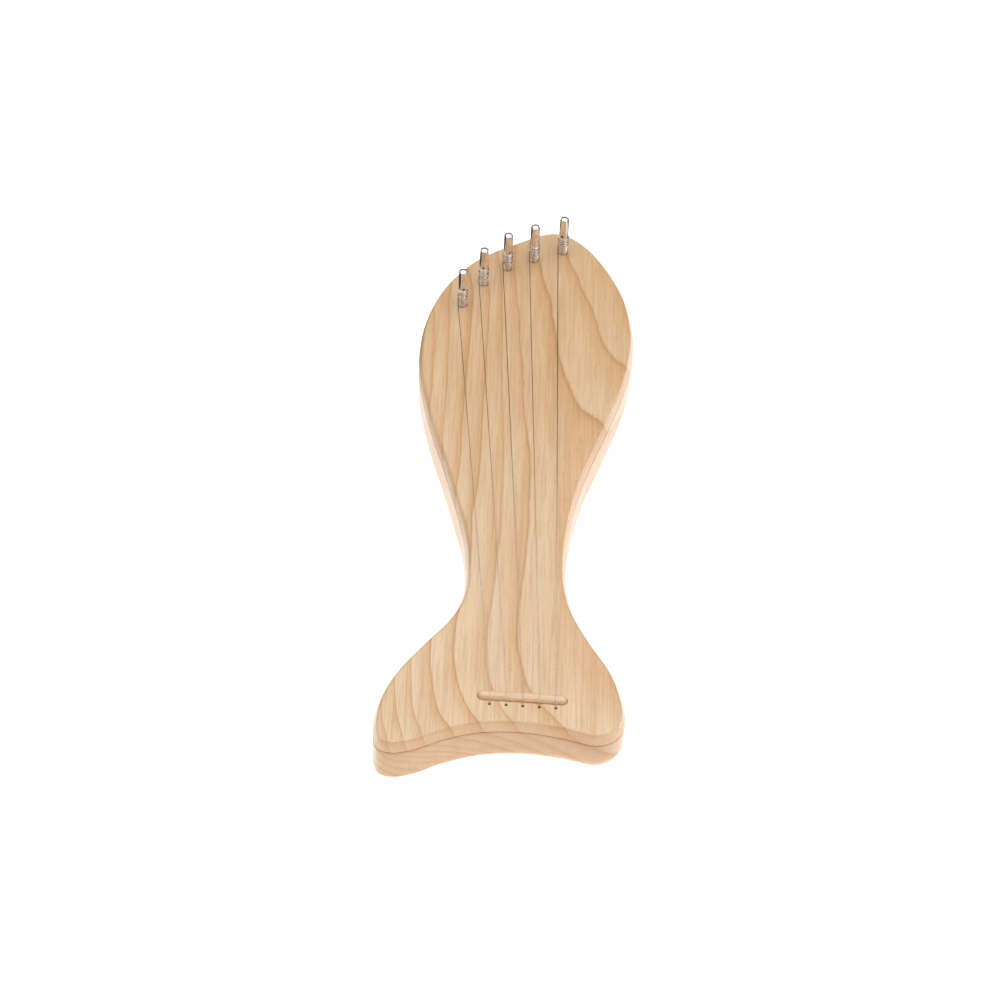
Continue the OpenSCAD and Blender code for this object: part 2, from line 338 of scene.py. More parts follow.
def grain_of(v):
    """(ring number, along the grain, depth) for points of the plank, in mm."""
    v = np.asarray(v, float)
    depth = T - v[:, 2]
    dive = 0.35 * np.minimum(depth, FRONT_DOWN) + SLANT * np.maximum(depth - FRONT_DOWN, 0)
    q = np.stack([v[:, 0] - dive, v[:, 1]], 1)
    # Away from the drawn lines the field is carried on straight.
    low = -58.0
    over = np.minimum(q[:, 0] - low, 0)
    q2 = np.stack([np.maximum(q[:, 0], low), q[:, 1]], 1)
    return np.stack([GRAIN.at(q2) + over * 0.085, v[:, 1], depth], 1)


# ------------------------------------------------------------------ the body
class Builder:
    def __init__(self):
        self.v, self.f, self.sharp = [], [], []

    def loop(self, xy, z, sharp=False):
        z = np.broadcast_to(np.asarray(z, float), (len(xy),))
        first = len(self.v)
        self.v += [(float(a[0]), float(a[1]), float(h)) for a, h in zip(xy, z)]
        ids = list(range(first, first + len(xy)))
        if sharp:
            self.sharp.append(ids)
        return ids

    def skirt(self, a, b):
        n = len(a)
        for i in range(n):
            e = (i + 1) % n
            self.f.append((a[i], a[e], b[e], b[i]))

    def cap(self, outer, holes, z, step, up):
        """A flat face between the outer loop and the holes, with a fine inner grid."""
        xy = np.array(self.v, float)[:, :2]
        ring = xy[outer]
        lo, hi = ring.min(0), ring.max(0)
        gx, gy = np.arange(lo[0], hi[0], step), np.arange(lo[1], hi[1], step * 0.87)
        grid = np.array([(x + (step / 2 if j % 2 else 0), y) for j, y in enumerate(gy) for x in gx])
        grid = grid[inside(grid, ring)]
        grid = grid[~near(grid, ring, step * 0.55)]
        for h in holes:
            hl = xy[h]
            box = np.all((grid > hl.min(0) - step) & (grid < hl.max(0) + step), axis=1)
            bad = np.zeros(len(grid), bool)
            if box.any():
                bad[box] = inside(grid[box], hl) | near(grid[box], hl, step * 0.35)
            grid = grid[~bad]
        ids = list(outer)
        edges = [(i, (i + 1) % len(outer)) for i in range(len(outer))]
        for h in holes:
            s = len(ids)
            ids += h
            edges += [(s + i, s + (i + 1) % len(h)) for i in range(len(h))]
        first = len(self.v)
        self.v += [(float(a), float(b), z) for a, b in grid]
        ids += list(range(first, first + len(grid)))
        flat = [Vector((self.v[i][0], self.v[i][1])) for i in ids]
        verts, _, faces, orig, _, _ = delaunay_2d_cdt(flat, edges, [], 0, 1e-6)
        back = [ids[o[0]] for o in orig]
        xy = np.array(self.v, float)[:, :2]
        tri = np.array([[back[i] for i in f] for f in faces if len(f) == 3])
        mid = xy[tri].mean(1)
        keep = inside(mid, xy[outer])
        for h in holes:
            keep &= ~inside(mid, xy[h])
        tri = tri[keep]
        a, b, c = xy[tri[:, 0]], xy[tri[:, 1]], xy[tri[:, 2]]
        ccw = (b[:, 0] - a[:, 0]) * (c[:, 1] - a[:, 1]) - (b[:, 1] - a[:, 1]) * (c[:, 0] - a[:, 0]) > 0
        for t, w in zip(tri, ccw):
            self.f.append(tuple(t) if bool(w) == up else tuple(t[::-1]))


def string_x(i):
    return FIRST_X + GAP * i


def hole_y(i):
    return -138.5 - 0.25 * i


def rod_at(i):
    return ROD_Y - ROD_FALL * (string_x(i) - ROD_X)


def stadium(half, r, n=14):
    a = np.radians(np.linspace(-90, 90, n))
    right = np.stack([ROD_X + half + r * np.cos(a), ROD_Y + r * np.sin(a)], 1)
    left = np.stack([ROD_X - half - r * np.cos(a), ROD_Y - r * np.sin(a)], 1)
    run = np.linspace(half, -half, 20)[1:-1]
    top = np.stack([ROD_X + run, np.full(len(run), ROD_Y + r)], 1)
    bottom = np.stack([ROD_X - run, np.full(len(run), ROD_Y - r)], 1)
    p = np.concatenate([right, top, left, bottom]) - (ROD_X, ROD_Y)
    a = -math.atan(ROD_FALL)
    c, s = math.cos(a), math.sin(a)
    return np.stack([ROD_X + c * p[:, 0] - s * p[:, 1], ROD_Y + s * p[:, 0] + c * p[:, 1]], 1)


def make_body():
    b = Builder()
    edge = closed_curve(RIM, 8)
    n = inward(edge)
    edge = edge + 0.06 * n
    count = len(edge)
    back = BACK_R + LAP_R * ease((edge[:, 0] + 40) / 100) * ease((-60 - edge[:, 1]) / 60)
    loops, wear = [], {}

    def add(depth, z, worn=0.0, sharp=False):
        ids = b.loop(edge + np.asarray(depth).reshape(-1, 1) * n, z, sharp)
        loops.append(ids)
        for i in ids:
            wear[i] = worn

    for k in range(7):
        a = math.radians(90 * k / 6)
        add(back * (1 - math.sin(a)), back * (1 - math.cos(a)), 0.3 + 0.7 * math.sin(2 * a), sharp=(k == 0))
    wall_top = T - FRONT_DOWN
    for k in range(1, 10):
        s = k / 9
        add(np.zeros(count), back + (wall_top - 0.3 - back) * s)
    # Hairline where the side ends and the eased front edge begins.
    add(np.full(count, 0.30), wall_top - 0.06, 0.0, sharp=True)
    add(np.full(count, 0.02), wall_top + 0.12, 0.2, sharp=True)
    for k in range(1, 8):
        t = k / 7 * 0.95
        u = 1 - t
        add(np.full(count, 0.02 + 2 * u * t * 0.8 + t * t * FRONT_IN),
            wall_top + 2 * u * t * 3.7 + t * t * FRONT_DOWN, 0.2 + 0.6 * k / 7)
    for depth, down, worn in ((2.36, 0.24, 1.0), (2.62, 0.1, 1.0), (2.95, 0.03, 0.8), (3.4, 0.0, 0.4)):
        add(np.full(count, depth), T - down, worn, sharp=False)
    for lo, hi in zip(loops[:-1], loops[1:]):
        b.skirt(hi, lo)
    bottom, top = loops[0], loops[-1]

    top_holes, bottom_holes = [], []
    # Bores of the tuning pins, slightly broken at the mouth.
    for x, y in PINS:
        rings = [b.loop(circle(x, y, r, 32), z, s) for r, z, s in
                 ((2.72, T, True), (2.55, T - 0.2, False), (2.55, T - 6, False), (2.55, T - 20, True))]
        top_holes.append(rings[0])
        for lo, hi in zip(rings[:-1], rings[1:]):
            b.skirt(lo, hi)
        b.f.append(rings[-1])
    # String holes with the counterbore for the ball end behind them.
    for i in range(5):
        x, y = string_x(i), hole_y(i)
        rings = [b.loop(circle(x, y, r, 24), z, s) for r, z, s in
                 ((0.84, T, True), (0.8, T - 0.1, False), (0.8, 18, False), (0.8, 10.0, True), (1.9, 10.0, False),
                  (3.0, 10.0, True), (3.0, 5, False), (3.0, 0.35, False), (3.25, 0, True))]
        top_holes.append(rings[0])
        bottom_holes.append(rings[-1])
        for lo, hi in zip(rings[:-1], rings[1:]):
            b.skirt(lo, hi)
    # Groove that the bridge rod is let into.
    half = (ROD_LEN - ROD_D) / 2
    rings = [b.loop(stadium(half, 2.92), T, True), b.loop(stadium(half, 2.8), T - 0.5)]
    for h in (0.8, 1.2, 1.6, 2.0, 2.3):
        rings.append(b.loop(stadium(half, math.sqrt(2.53 ** 2 - h ** 2)), ROD_Z - h))
    for lo, hi in zip(rings[:-1], rings[1:]):
        b.skirt(lo, hi)
    b.f.append(rings[-1])
    top_holes.append(rings[0])

    # The hollow in the back: eased mouth, straight wall, small fillet at its ceiling.
    cave = closed_curve(CAVE, 8)
    out = inward(cave)          # the outline runs the other way round, so this points outward
    ceiling = T - FRONT_WOOD
    rings = [b.loop(cave + 0.9 * out, 0.0, True), b.loop(cave + 0.28 * out, 0.25), b.loop(cave, 0.9)]
    for z in (5, 10, 14):
        rings.append(b.loop(cave, z))
    for k in range(0, 6):
        a = math.radians(18 * k)
        rings.append(b.loop(cave - 1.8 * (1 - math.cos(a)) * out, ceiling - 1.8 + 1.8 * math.sin(a)))
    for lo, hi in zip(rings[:-1], rings[1:]):
        b.skirt(hi, lo)
    bottom_holes.append(rings[0])

    b.cap(top, top_holes, T, 2.4, True)
    b.cap(bottom, bottom_holes, 0.0, 3.2, False)
    b.cap(rings[-1], [], ceiling, 3.2, False)

    verts = np.array(b.v)
    mesh = bpy.data.meshes.new("harp_body")
    mesh.from_pydata(to_frame(verts).tolist(), [], [list(map(int, f)) for f in b.f])
    mesh.update()
    import bmesh
    bm = bmesh.new()
    bm.from_mesh(mesh)
    used = set()
    for ids in b.sharp:
        for i, j in zip(ids, ids[1:] + ids[:1]):
            used.add((min(i, j), max(i, j)))
    bmesh.ops.recalc_face_normals(bm, faces=bm.faces[:])
    for e in bm.edges:
        i, j = e.verts[0].index, e.verts[1].index
        if (min(i, j), max(i, j)) in used:
            e.smooth = False
    for f in bm.faces:
        f.smooth = True
    open_edges = sum(1 for e in bm.edges if not e.is_manifold)
    print("harp_body: vertices", len(bm.verts), "faces", len(bm.faces), "open edges", open_edges)
    bm.to_mesh(mesh)
    bm.free()

    grain = grain_of(verts)
    at = mesh.attributes.new("grain", "FLOAT_VECTOR", "POINT")
    at.data.foreach_set("vector", grain.astype(np.float32).ravel())
    # How much of the surface looks along the grain (end grain), away from the flats.
    co = verts
    end = np.zeros(len(co))
    worn = np.zeros(len(co))
    normals = np.array([v.normal[:] for v in mesh.vertices])
    for i, w in wear.items():
        worn[i] = w
    ring_ids = np.array(sorted(wear))
    end[ring_ids] = np.abs(normals[ring_ids, 1])
    for name, val in (("endgrain", end), ("wear", worn)):
        at = mesh.attributes.new(name, "FLOAT", "POINT")
        at.data.foreach_set("value", val.astype(np.float32))

    o = bpy.data.objects.new("harp_body", mesh)
    scene.collection.objects.link(o)
    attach(o, "harp")
    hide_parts("body")
    return o


# ------------------------------------------------------------------ metal and the rod
def make_pin(i):
    x, y = PINS[i]
    z0, z1 = T - (PIN_LEN - PIN_PROUD), T + PIN_PROUD
    sides = 96
    a = np.arange(sides) * 2 * np.pi / sides
    levels = [(z0, 1.7), (z0 + 0.5, 2.1), (z0 + 1, 2.5), (T - 10, 2.5), (T - 2.2, 2.5)]
    levels += [(z, 2.5) for z in np.arange(T - 2.0, T + 6.45, 0.11)]
    levels += [(z, 2.5) for z in np.arange(T + 6.8, T + 12.0, 1.3)]
    levels += [(z, 2.5) for z in np.arange(T + 12.0, T + 14.4, 0.4)]
    levels += [(z, 2.5) for z in np.arange(T + 14.5, z1 - 2.0, 0.75)]
    base = z1 - 3.2
    dome = []
    for k in range(0, 13):
        t = math.radians(52 - 51 * k / 12)
        dome.append((base + 3.2 * math.cos(t), 3.2 * math.sin(t)))
    levels += [(z1 - 1.9, 2.5), (z1 - 1.55, 2.5)] + [(z, r) for z, r in dome if z > z1 - 1.5]
    verts = []
    for z, r in levels:
        flat = HEAD_W / 2 + (T + PIN_PROUD - z) * (PIN_D - HEAD_W) / 2 / (PIN_PROUD - FLAT_FROM)
        rel = (a - math.radians(EYES[i]) + math.pi / 4) % (math.pi / 2) - math.pi / 4
        cut = flat / np.cos(rel)
        full = np.full(sides, min(r, 2.5))
        if T - 2.0 <= z <= T + 6.4:      # fine thread, fading out at both ends
            wave = (z / 0.55 - a / (2 * np.pi)) % 1.0
            fade = min(1.0, (z - T + 2.0) / 0.5, (T + 6.4 - z) / 0.6)
            full = full - 0.12 * fade * np.abs(2 * wave - 1)
        if z > T + 12.5:
            k = 0.05
            h = np.clip(0.5 + 0.5 * (cut - full) / k, 0, 1)
            full = cut * (1 - h) + full * h - k * h * (1 - h)
        if r < 2.5:
            full = np.minimum(full, r)
        if z > z1 - 1.3:      # the dome's rim is a little eased
            full = np.minimum(full, 3.2 * math.sqrt(max(0.0, 1 - ((z - base) / 3.2) ** 2)))
        verts.append(np.stack([x + full * np.cos(a), y + full * np.sin(a), np.full(sides, z)], 1))
    verts = np.concatenate(verts + [np.array([[x, y, z1]])])
    faces = []
    n = len(levels)
    for k in range(n - 1):
        for j in range(sides):
            e = (j + 1) % sides
            faces.append((k * sides + j, k * sides + e, (k + 1) * sides + e, (k + 1) * sides + j))
    faces.append(list(range(sides - 1, -1, -1)))
    tip = len(verts) - 1
    for j in range(sides):
        faces.append(((n - 1) * sides + j, (n - 1) * sides + (j + 1) % sides, tip))
    mesh = bpy.data.meshes.new("pin_%d" % (i + 1))
    mesh.from_pydata(to_frame(verts).tolist(), [], faces)
    mesh.update()
    o = bpy.data.objects.new("pin_%d" % (i + 1), mesh)
    scene.collection.objects.link(o)

    # Cross hole that the string's end goes through.
    way = math.radians(EYES[i] + 90)
    d = np.array([math.cos(way), math.sin(way), 0.0])
    side = np.array([-math.sin(way), math.cos(way), 0.0])
    drill = [(0, -4.0), (EYE_D / 2, -4.0), (EYE_D / 2, 4.0), (0, 4.0)]
    cv, cf = lathe(drill, side, d, (x, y, T + EYE_H), 40)
    cm = bpy.data.meshes.new("drill")
    cm.from_pydata(to_frame(cv).tolist(), [], cf)
    cm.update()
    cutter = bpy.data.objects.new("drill", cm)
    scene.collection.objects.link(cutter)
    mod = o.modifiers.new("eye", "BOOLEAN")
    mod.operation, mod.solver, mod.object = "DIFFERENCE", "EXACT", cutter
    bpy.context.view_layer.update()
    dg = bpy.context.evaluated_depsgraph_get()
    cut = bpy.data.meshes.new_from_object(o.evaluated_get(dg))
    o.modifiers.clear()
    o.data = cut
    bpy.data.objects.remove(cutter)
    bpy.data.meshes.remove(cm)
    bpy.data.meshes.remove(mesh)
    cut.name = "pin_%d" % (i + 1)
    cut.polygons.foreach_set("use_smooth", [True] * len(cut.polygons))
    cut.set_sharp_from_angle(angle=math.radians(24))
    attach(o, "pin_%d" % (i + 1))
    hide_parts("tuning_pin_%d" % (i + 1))
    return o


def wrap_r(i):
    return PIN_D / 2 + WIRES[i] / 2 + 0.04


def meet(i):
    dx, dy = PINS[i][0] - string_x(i), PINS[i][1] - rod_at(i)
    return math.degrees(math.atan2(dy, dx) + math.asin(wrap_r(i) / math.hypot(dx, dy))) + 90


def polar(i, r, deg, z):
    a = math.radians(deg)
    return np.array([PINS[i][0] + r * math.cos(a), PINS[i][1] + r * math.sin(a), z])


def ease1(t):
    u = max(0.0, min(1.0, t))
    return u * u * (3 - 2 * u)


def make_winding(i):
    r, w = wrap_r(i), WIRES[i]
    back = 90 + EYES[i]
    start = meet(i) - 75
    extra = ((start - back - 25) % 360 + 360) % 360
    sweep = (TURNS - 1) * 360 + extra + (360 if extra < 120 else 0)
    za, zb, ze = STRING_Z + w + 0.04, T + COIL_TOP, T + EYE_H

    def lift(s):
        if s < sweep - 130:
            return (za + (zb - za) * s / (sweep - 130)
                    + 0.2 * math.sin(math.radians(1.6 * s + 50 * i)) * ease1(s / 200) * ease1((sweep - 130 - s) / 120))
        q = (s - sweep + 130) / 130
        return zb + (ze - 0.1 - zb) * ease1(q * 0.9 + 0.1 * q)

    steps = int(round(sweep / 7))
    coil = [polar(i, r, start - sweep * k / steps, lift(sweep * k / steps)) for k in range(steps + 1)]
    way = math.radians(back + 25 - 90)
    p0 = coil[-1]
    p1 = p0 + 0.9 * np.array([math.cos(way), math.sin(way), 0])
    p2 = polar(i, r + 0.45, back, ze)
    p3 = polar(i, 1.2, back, ze)
    turn_in = []
    for k in range(1, 25):
        t = k / 24
        u = 1 - t
        turn_in.append(u ** 3 * p0 + 3 * u * u * t * p1 + 3 * u * t * t * p2 + t ** 3 * p3)
    v, f = tube(coil + turn_in, w / 2, 14)
    return new_object("winding_%d" % (i + 1), v, f, "pin_%d" % (i + 1),
                      "string_winding_%d" % (i + 1), sharp=50)


def make_string(i):
    x, y, w = string_x(i), hole_y(i), WIRES[i]
    loop_r = WAIST_D / 2 + w / 2 + 0.02
    bend = ROD_D / 2 + w / 2 + 0.02
    loop = [np.array([x, y + loop_r * math.cos(math.radians(a)), BALL_Z + loop_r * math.sin(math.radians(a))])
            for a in np.arange(-255, 50.01, 19.0625 / 2)]
    stem = [(x, y + 0.62, BALL_Z + 1.4), (x, y + 0.36, BALL_Z + 1.95), (x, y + 0.14, BALL_Z + 2.8),
            (x, y + 0.05, BALL_Z + 4), (x, y + 0.08, T - 2.4), (x, y + 0.14, T - 1.1), (x, y + 0.3, T + 0.1)]
    axis = rod_at(i)
    dy, dz = y + 0.3 - axis, T + 0.1 - ROD_Z
    first = (math.degrees(math.atan2(dz, dy)) + 360) % 360 - math.degrees(math.acos(bend / math.hypot(dy, dz)))
    over = [np.array([x, axis + bend * math.cos(math.radians(a)), ROD_Z + bend * math.sin(math.radians(a))])
            for a in np.linspace(first, 90, 28)]
    start = np.array([x, axis, ROD_Z + bend])
    end = polar(i, wrap_r(i), meet(i), STRING_Z)
    span = [start + (end - start) * t for t in np.linspace(0, 1, 40)[1:-1]]
    wrap = [polar(i, wrap_r(i), meet(i) - 5 * k, STRING_Z) for k in range(19)]
    path = loop + [np.array(p, float) for p in finer(stem, 3)] + over + span + wrap
    v, f = tube(path, w / 2 - 0.035, 14)
    return new_object("string_%d_visual" % (i + 1), v, f, "harp", "string_%d" % (i + 1), sharp=50)


def make_ball(i):
    h = BALL_LEN / 2
    r, wr = BALL_D / 2, WAIST_D / 2
    prof = [(0, -h), (1.1, -h), (r - 0.2, -h), (r - 0.07, -h + 0.06), (r, -h + 0.2), (r, -0.78), (r - 0.05, -0.68),
            (wr + 0.12, -0.5), (wr, -0.4), (wr, 0.4), (wr + 0.12, 0.5), (r - 0.05, 0.68), (r, 0.78), (r, h - 0.2),
            (r - 0.07, h - 0.06), (r - 0.2, h), (1.1, h), (0, h)]
    v, f = lathe(prof, (0, 1, 0), (1, 0, 0), (string_x(i), hole_y(i), BALL_Z), 48)
    return new_object("ball_%d" % (i + 1), v, f, "harp", "ball_end_%d" % (i + 1), sharp=38)


def make_bridge():
    half = (ROD_LEN - ROD_D) / 2
    prof = []
    r = ROD_D / 2
    for k in range(0, 15):
        a = math.radians(90 * k / 14)
        prof.append((r * math.sin(a), -half - r * math.cos(a)))
    prof += [(r, h) for h in np.linspace(-half, half, 26)[1:-1]]
    for k in range(0, 15):
        a = math.radians(90 * k / 14)
        prof.append((r * math.cos(a), half + r * math.sin(a)))
    prof[0], prof[-1] = (0, prof[0][1]), (0, prof[-1][1])
    a = -math.atan(ROD_FALL)
    v, f = lathe(prof, (-math.sin(a), math.cos(a), 0), (math.cos(a), math.sin(a), 0), (ROD_X, ROD_Y, ROD_Z), 64)
    return new_object("bridge_rod", v, f, "harp", "bridge")


# ------------------------------------------------------------------ materials
def lin(r, g, b):
    out = []
    for c in (r, g, b):
        c /= 255.0
        out.append(c / 12.92 if c <= 0.04045 else ((c + 0.055) / 1.055) ** 2.4)
    return (*out, 1.0)


PALE_A, PALE_B = lin(232, 205, 170), lin(226, 195, 157)
WARM, WARM_DEEP = lin(218, 178, 130), lin(212, 160, 104)
STREAK, LINE, PORE = lin(200, 152, 104), lin(176, 122, 74), lin(172, 120, 76)
CREASE_SHADE = lin(164, 108, 66)
END_A, END_B = lin(206, 162, 118), lin(184, 136, 94)


class Nodes:
    def __init__(self, name):
        self.mat = bpy.data.materials.new(name)
        self.mat.use_nodes = True
        self.t = self.mat.node_tree
        self.t.nodes.clear()
        self.out = self.t.nodes.new("ShaderNodeOutputMaterial")
        self.bsdf = self.t.nodes.new("ShaderNodeBsdfPrincipled")
        self.t.links.new(self.bsdf.outputs[0], self.out.inputs[0])

    def link(self, a, b):
        self.t.links.new(a, b)

    def add(self, kind, **props):
        n = self.t.nodes.new(kind)
        for k, v in props.items():
            setattr(n, k, v)
        return n

    def put(self, socket, value):
        if isinstance(value, bpy.types.NodeSocket):
            self.link(value, socket)
        else:
            socket.default_value = value

    def math(self, op, a, b=0.0, c=None, clamp=False):
        n = self.add("ShaderNodeMath", operation=op, use_clamp=clamp)
        self.put(n.inputs[0], a)
        self.put(n.inputs[1], b)
        if c is not None:
            self.put(n.inputs[2], c)
        return n.outputs[0]

    def attr(self, name, out):
        n = self.add("ShaderNodeAttribute", attribute_name=name)
        n.attribute_type = "GEOMETRY"
        return n.outputs[out]

    def vector(self, x, y, z):
        n = self.add("ShaderNodeCombineXYZ")
        for s, v in zip(n.inputs, (x, y, z)):
            self.put(s, v)
        return n.outputs[0]

    def noise(self, vec, scale, detail=2.0, rough=0.5, dims="3D", w=None, distortion=0.0):
        n = self.add("ShaderNodeTexNoise", noise_dimensions=dims)
        if vec is not None:
            self.link(vec, n.inputs["Vector"])
        if w is not None:
            self.put(n.inputs["W"], w)
        n.inputs["Scale"].default_value = scale
        n.inputs["Detail"].default_value = detail
        n.inputs["Roughness"].default_value = rough
        n.inputs["Distortion"].default_value = distortion
        return n.outputs["Fac"]

    def ramp(self, fac, stops, mode="LINEAR"):
        n = self.add("ShaderNodeValToRGB")
        n.color_ramp.interpolation = mode
        els = n.color_ramp.elements
        while len(els) > 1:
            els.remove(els[-1])
        for k, (pos, col) in enumerate(stops):
            e = els[0] if k == 0 else els.new(pos)
            e.position = pos
            e.color = col if len(col) == 4 else (*col, 1.0)
        self.link(fac, n.inputs[0])
        return n.outputs[0]

    def levels(self, fac, stops, mode="LINEAR"):
        return self.ramp(fac, [(p, (v, v, v, 1.0)) for p, v in stops], mode)

    def span(self, value, a, b, c=0.0, d=1.0, kind="LINEAR"):
        n = self.add("ShaderNodeMapRange", interpolation_type=kind)
        self.put(n.inputs[0], value)
        for k, v in zip((1, 2, 3, 4), (a, b, c, d)):
            n.inputs[k].default_value = v
        return n.outputs[0]

    def mix(self, fac, a, b, blend="MIX"):
        n = self.add("ShaderNodeMix", data_type="RGBA", blend_type=blend)
        self.put(n.inputs[0], fac)
        self.put(n.inputs[6], a)
        self.put(n.inputs[7], b)
        return n.outputs[2]

    def bump(self, height, strength, distance, normal=None):
        n = self.add("ShaderNodeBump")
        n.inputs["Strength"].default_value = strength
        n.inputs["Distance"].default_value = distance
        self.link(height, n.inputs["Height"])
        if normal is not None:
            self.link(normal, n.inputs["Normal"])
        return n.outputs[0]

    def set(self, name, value):
        self.put(self.bsdf.inputs[name], value)


def ash_material():
    m = Nodes("ash_lacquered")
    sep = m.add("ShaderNodeSeparateXYZ")
    m.link(m.attr("grain", "Vector"), sep.inputs[0])
    ring, along, depth = sep.outputs
    place = m.add("ShaderNodeTexCoord").outputs["Object"]
    sp = m.add("ShaderNodeSeparateXYZ")
    m.link(place, sp.inputs[0])
    x, y, z = [m.math("MULTIPLY", c, 1000.0) for c in sp.outputs]
    # Slow wander of the growth lines.
    slow = m.noise(m.vector(m.math("MULTIPLY", x, 0.10), m.math("MULTIPLY", y, 0.045),
                            m.math("MULTIPLY", z, 0.09)), 1.0, 4.0, 0.6)
    u = m.math("ADD", ring, m.math("MULTIPLY", m.math("SUBTRACT", slow, 0.5), 0.14))
    cell = m.math("FLOOR", u)
    s = m.math("SUBTRACT", u, cell)
    # Each growth ring: pale, slowly warmer and more open-pored, then the thin line that closes it.
    zone = m.levels(s, [(0.0, 0.45), (0.03, 0.10), (0.10, 0.0), (0.42, 0.04), (0.62, 0.30), (0.80, 0.72),
                        (0.92, 1.0), (0.975, 1.0), (1.0, 0.45)], "EASE")
    line = m.levels(s, [(0.0, 0.30), (0.022, 0.05), (0.05, 0.0), (0.90, 0.0), (0.955, 0.45), (0.982, 1.0),
                        (1.0, 0.30)])
    power = m.add("ShaderNodeTexWhiteNoise", noise_dimensions="1D")
    m.link(cell, power.inputs["W"])
    strength = m.span(power.outputs["Value"], 0, 1, 0.70, 1.0)
    zone = m.math("MULTIPLY", zone, strength)
    # Streaks and pores run straight along the plank whatever the growth lines do.
    streak = m.noise(m.vector(m.math("MULTIPLY", x, 1.3), m.math("MULTIPLY", y, 0.030),
                              m.math("MULTIPLY", z, 1.3)), 1.0, 4.0, 0.62)
    pores = m.noise(m.vector(m.math("MULTIPLY", x, 3.4), m.math("MULTIPLY", y, 0.16),
                             m.math("MULTIPLY", z, 3.4)), 1.0, 3.0, 0.6)
    wide = m.noise(m.vector(m.math("MULTIPLY", x, 0.20), m.math("MULTIPLY", y, 0.010),
                            m.math("MULTIPLY", z, 0.20)), 1.0, 3.0, 0.55)
    clouds = m.noise(m.vector(m.math("MULTIPLY", x, 0.06), m.math("MULTIPLY", y, 0.03),
                              m.math("MULTIPLY", z, 0.06)), 1.0, 3.0, 0.55)
    e = m.attr("endgrain", "Fac")
    end = m.math("MULTIPLY", e, e)
    pale = m.mix(m.span(clouds, 0.3, 0.7), PALE_A, PALE_B)
    warmth = m.math("ADD", m.math("MULTIPLY", m.span(wide, 0.42, 0.66), 0.50), m.span(along, -60.0, 120.0, 0.0, 0.40))
    pale = m.mix(m.math("MINIMUM", warmth, 1.0), pale, WARM)
    col = m.mix(m.math("MULTIPLY", zone, m.span(streak, 0.25, 0.70, 0.45, 0.95)), pale, WARM_DEEP)
    col = m.mix(m.math("MULTIPLY", m.span(streak, 0.46, 0.66), 0.52), col, STREAK)
    col = m.mix(m.math("MULTIPLY", m.math("MULTIPLY", line, strength), 0.62), col, LINE)
    # Open pores crowd towards the dark part of each ring.
    open_pores = m.math("MULTIPLY", m.span(pores, 0.55, 0.70),
                        m.math("ADD", m.math("MULTIPLY", zone, 0.42), 0.24))
    col = m.mix(open_pores, col, PORE)
    col = m.mix(m.math("MULTIPLY", end, 0.42), col, m.mix(m.span(pores, 0.40, 0.66), END_A, END_B))
    # Painted light: the eased front edge is painted warmer and brighter than the flat, as if lit from the front.
    roundover_painted_light = m.levels(m.math("DIVIDE", depth, 25.0), [(0.0, 0.0), (0.004, 0.0), (0.10, 0.8), (0.20, 1.0), (0.236, 0.4), (0.30, 0.0),
                                                     (1.0, 0.0)])
    col = m.mix(m.math("MULTIPLY", roundover_painted_light, 0.20), col, lin(230, 172, 120))
    # Painted shade: a dark line at the crease under the eased front edge, then the side wall painted darker towards
    # its top, fading out towards the bottom.
    under_edge_shade = m.levels(m.math("DIVIDE", depth, 25.0), [(0.0, 0.0), (0.232, 0.0), (0.237, 1.0), (0.249, 1.0), (0.256, 0.42),
                                                     (0.36, 0.33), (0.60, 0.18), (0.80, 0.08), (1.0, 0.0)])
    col = m.mix(m.math("MULTIPLY", under_edge_shade, 0.62), col, CREASE_SHADE)
    wear = m.math("MULTIPLY", m.attr("wear", "Fac"), m.span(m.noise(place, 90.0, 3.0), 0.35, 0.7))
    col = m.mix(m.math("MULTIPLY", wear, 0.10), col, PALE_A)
    m.set("Base Color", col)
    rough = m.math("ADD", m.span(streak, 0.3, 0.7, 0.33, 0.42), m.math("MULTIPLY", open_pores, 0.12))
    m.set("Roughness", m.math("ADD", rough, m.math("MULTIPLY", wear, -0.05)))
    m.set("IOR", 1.5)
    m.set("Coat Weight", 0.55)
    m.set("Coat Roughness", 0.18)
    height = m.math("ADD", m.math("MULTIPLY", streak, -0.5), m.math("MULTIPLY", open_pores, -1.2))
    height = m.math("ADD", height, m.math("MULTIPLY", line, -0.3))
    m.set("Normal", m.bump(height, 0.25, 0.00012))
    return m.mat


def bridge_material():
    m = Nodes("bridge_beech")
    pos = m.add("ShaderNodeTexCoord").outputs["Object"]
    sep = m.add("ShaderNodeSeparateXYZ")
    m.link(pos, sep.inputs[0])
    x, y, z = [m.math("MULTIPLY", s, 1000.0) for s in sep.outputs]
    streak = m.noise(m.vector(m.math("MULTIPLY", x, 0.07), m.math("MULTIPLY", y, 1.1),
                              m.math("MULTIPLY", z, 0.9)), 1.0, 4.0, 0.6)
    fleck = m.noise(m.vector(m.math("MULTIPLY", x, 0.55), m.math("MULTIPLY", y, 4.0),
                             m.math("MULTIPLY", z, 4.0)), 1.0, 2.0, 0.5)
    # Painted light: the rod's front half is painted yellower and its back half pinker, as the two sides are lit
    # differently.
    side = m.span(y, -160.8, -156.4)
    base = m.mix(side, lin(240, 208, 170), lin(236, 208, 188))
    col = m.mix(m.math("MULTIPLY", m.span(streak, 0.35, 0.68), 0.7), base, lin(220, 176, 134))
    col = m.mix(m.math("MULTIPLY", m.span(fleck, 0.6, 0.75), 0.35), col, lin(182, 132, 96))
    m.set("Base Color", col)
    m.set("Roughness", m.span(streak, 0.2, 0.8, 0.36, 0.50))
    m.set("IOR", 1.5)
    m.set("Coat Weight", 0.2)
    m.set("Coat Roughness", 0.3)
    m.set("Normal", m.bump(m.math("ADD", m.math("MULTIPLY", streak, -0.6), m.math("MULTIPLY", fleck, -0.3)), 0.25, 0.0001))
    return m.mat


